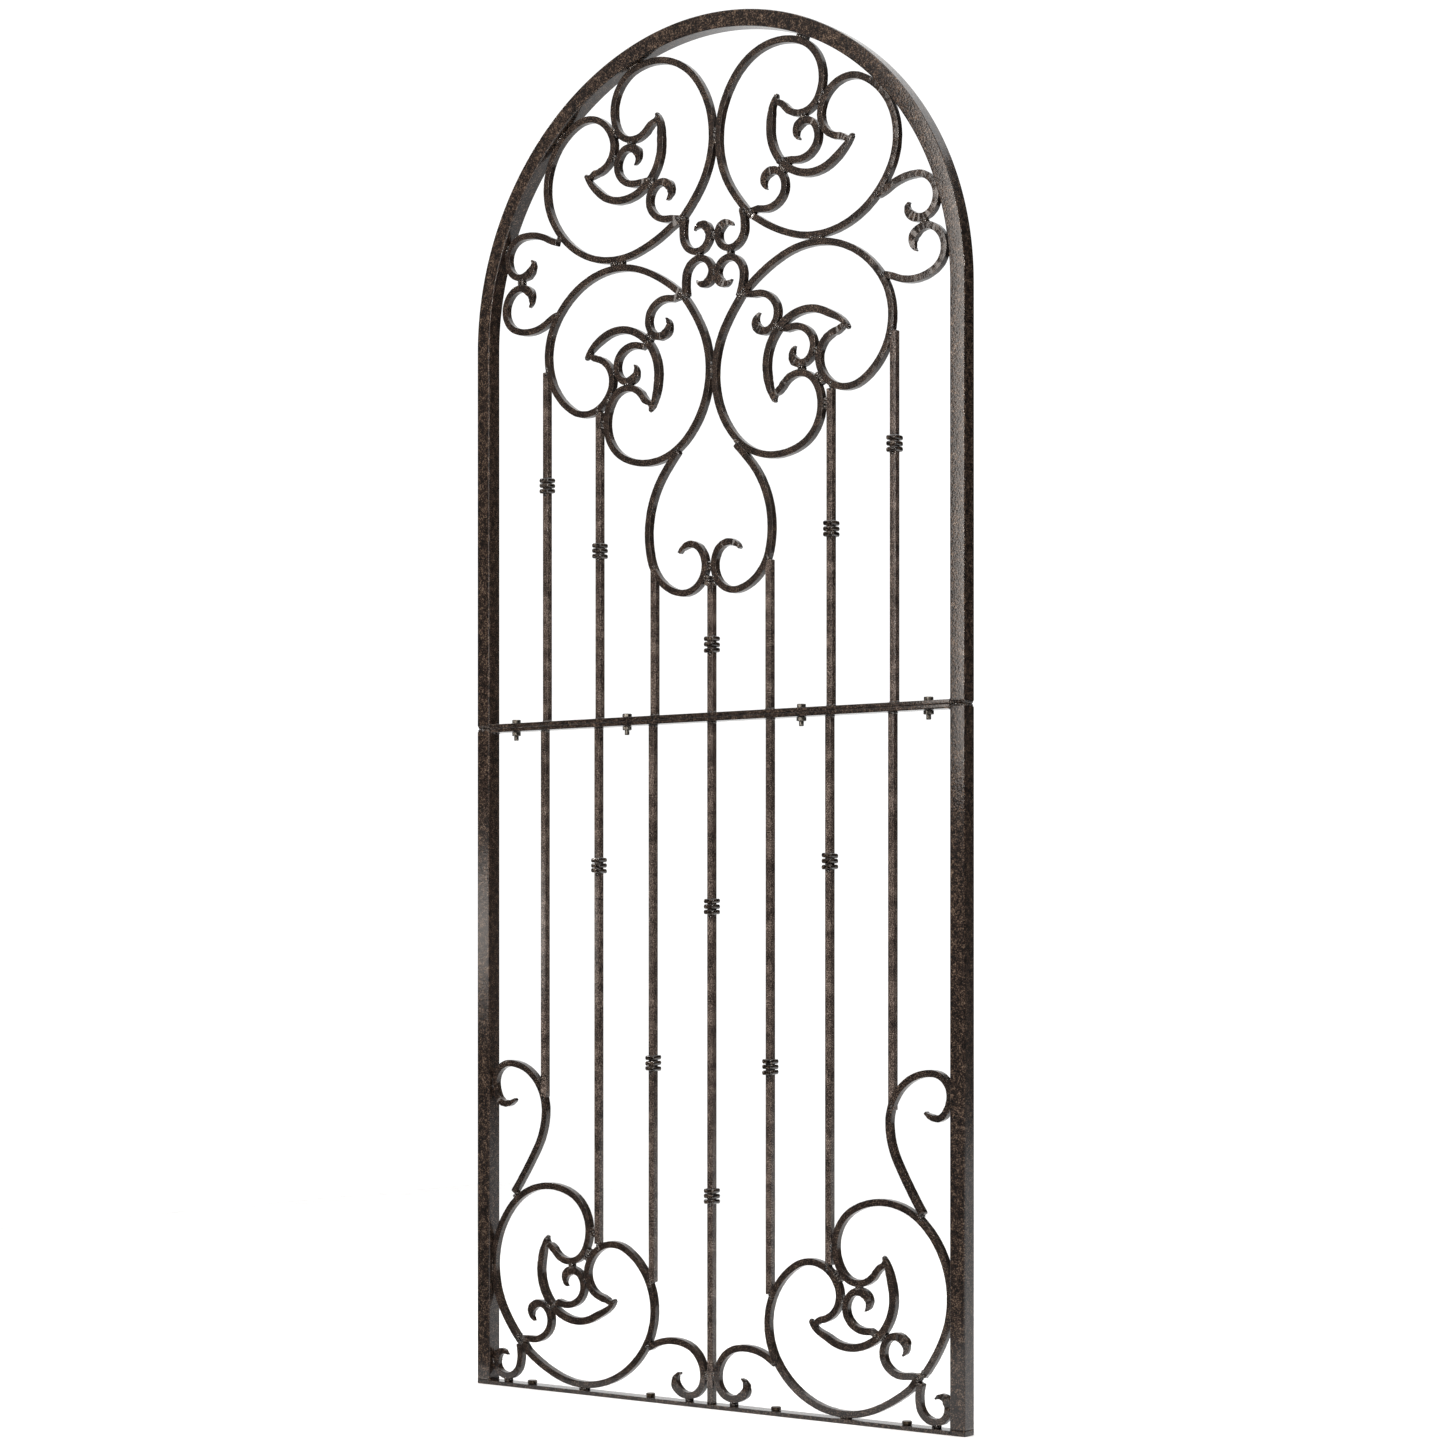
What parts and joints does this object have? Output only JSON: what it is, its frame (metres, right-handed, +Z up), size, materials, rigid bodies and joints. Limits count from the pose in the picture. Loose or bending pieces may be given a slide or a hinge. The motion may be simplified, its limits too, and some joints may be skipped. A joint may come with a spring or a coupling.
{
  "type": "garden trellis arch",
  "caption": "Round-headed metal garden trellis: two bolted panels of square bars, ringed collars and heart-shaped scrolls in a square tube frame.",
  "frame": {"origin": "centre of the underside of the base rail, on the ground", "axes": "+Z up, +X to the trellis's right seen from the front (-Y) side, +Y towards its back"},
  "size_m": [0.914, 0.0254, 2.095],
  "materials": {
    "coated_steel": "dark brown-black mottled powder coat, semi-gloss",
    "zinc_steel": "zinc plated, dull"
  },
  "bodies": {
    "root": {"arch_frame": "coated_steel", "foot_left": "coated_steel", "upright_left": "coated_steel", "foot_right": "coated_steel", "upright_right": "coated_steel", "upper_rail": "coated_steel", "lower_rail": "coated_steel", "base_rail": "coated_steel", "panel_bolt_1": "zinc_steel", "panel_nut_1": "zinc_steel", "panel_bolt_2": "zinc_steel", "panel_nut_2": "zinc_steel", "panel_bolt_3": "zinc_steel", "panel_nut_3": "zinc_steel", "panel_bolt_4": "zinc_steel", "panel_nut_4": "zinc_steel", "base_bolt_1": "zinc_steel", "base_bolt_2": "zinc_steel", "base_bolt_3": "zinc_steel", "base_bolt_4": "zinc_steel", "leaf_outline_top_left": "coated_steel", "leaf_heart_top_left": "coated_steel", "leaf_outline_top_right": "coated_steel", "leaf_heart_top_right": "coated_steel", "leaf_outline_middle_left": "coated_steel", "leaf_heart_middle_left": "coated_steel", "leaf_outline_middle_right": "coated_steel", "leaf_heart_middle_right": "coated_steel", "leaf_outline_bottom_left": "coated_steel", "leaf_heart_bottom_left": "coated_steel", "leaf_outline_bottom_right": "coated_steel", "leaf_heart_bottom_right": "coated_steel", "rosette": "coated_steel", "side_scroll_upper_left": "coated_steel", "side_scroll_lower_left": "coated_steel", "side_scroll_upper_right": "coated_steel", "side_scroll_lower_right": "coated_steel", "lyre_left": "coated_steel", "lyre_right": "coated_steel", "s_scroll_left": "coated_steel", "centre_scroll_left": "coated_steel", "corner_curl_left": "coated_steel", "s_scroll_right": "coated_steel", "centre_scroll_right": "coated_steel", "corner_curl_right": "coated_steel", "upper_bar_left_3": "coated_steel", "upper_bar_left_2": "coated_steel", "upper_bar_left_1": "coated_steel", "upper_bar_middle": "coated_steel", "upper_bar_right_1": "coated_steel", "upper_bar_right_2": "coated_steel", "upper_bar_right_3": "coated_steel", "lower_bar_left_3": "coated_steel", "lower_bar_left_2": "coated_steel", "lower_bar_left_1": "coated_steel", "lower_bar_middle": "coated_steel", "lower_bar_right_1": "coated_steel", "lower_bar_right_2": "coated_steel", "lower_bar_right_3": "coated_steel"}
  },
  "joints": []
}
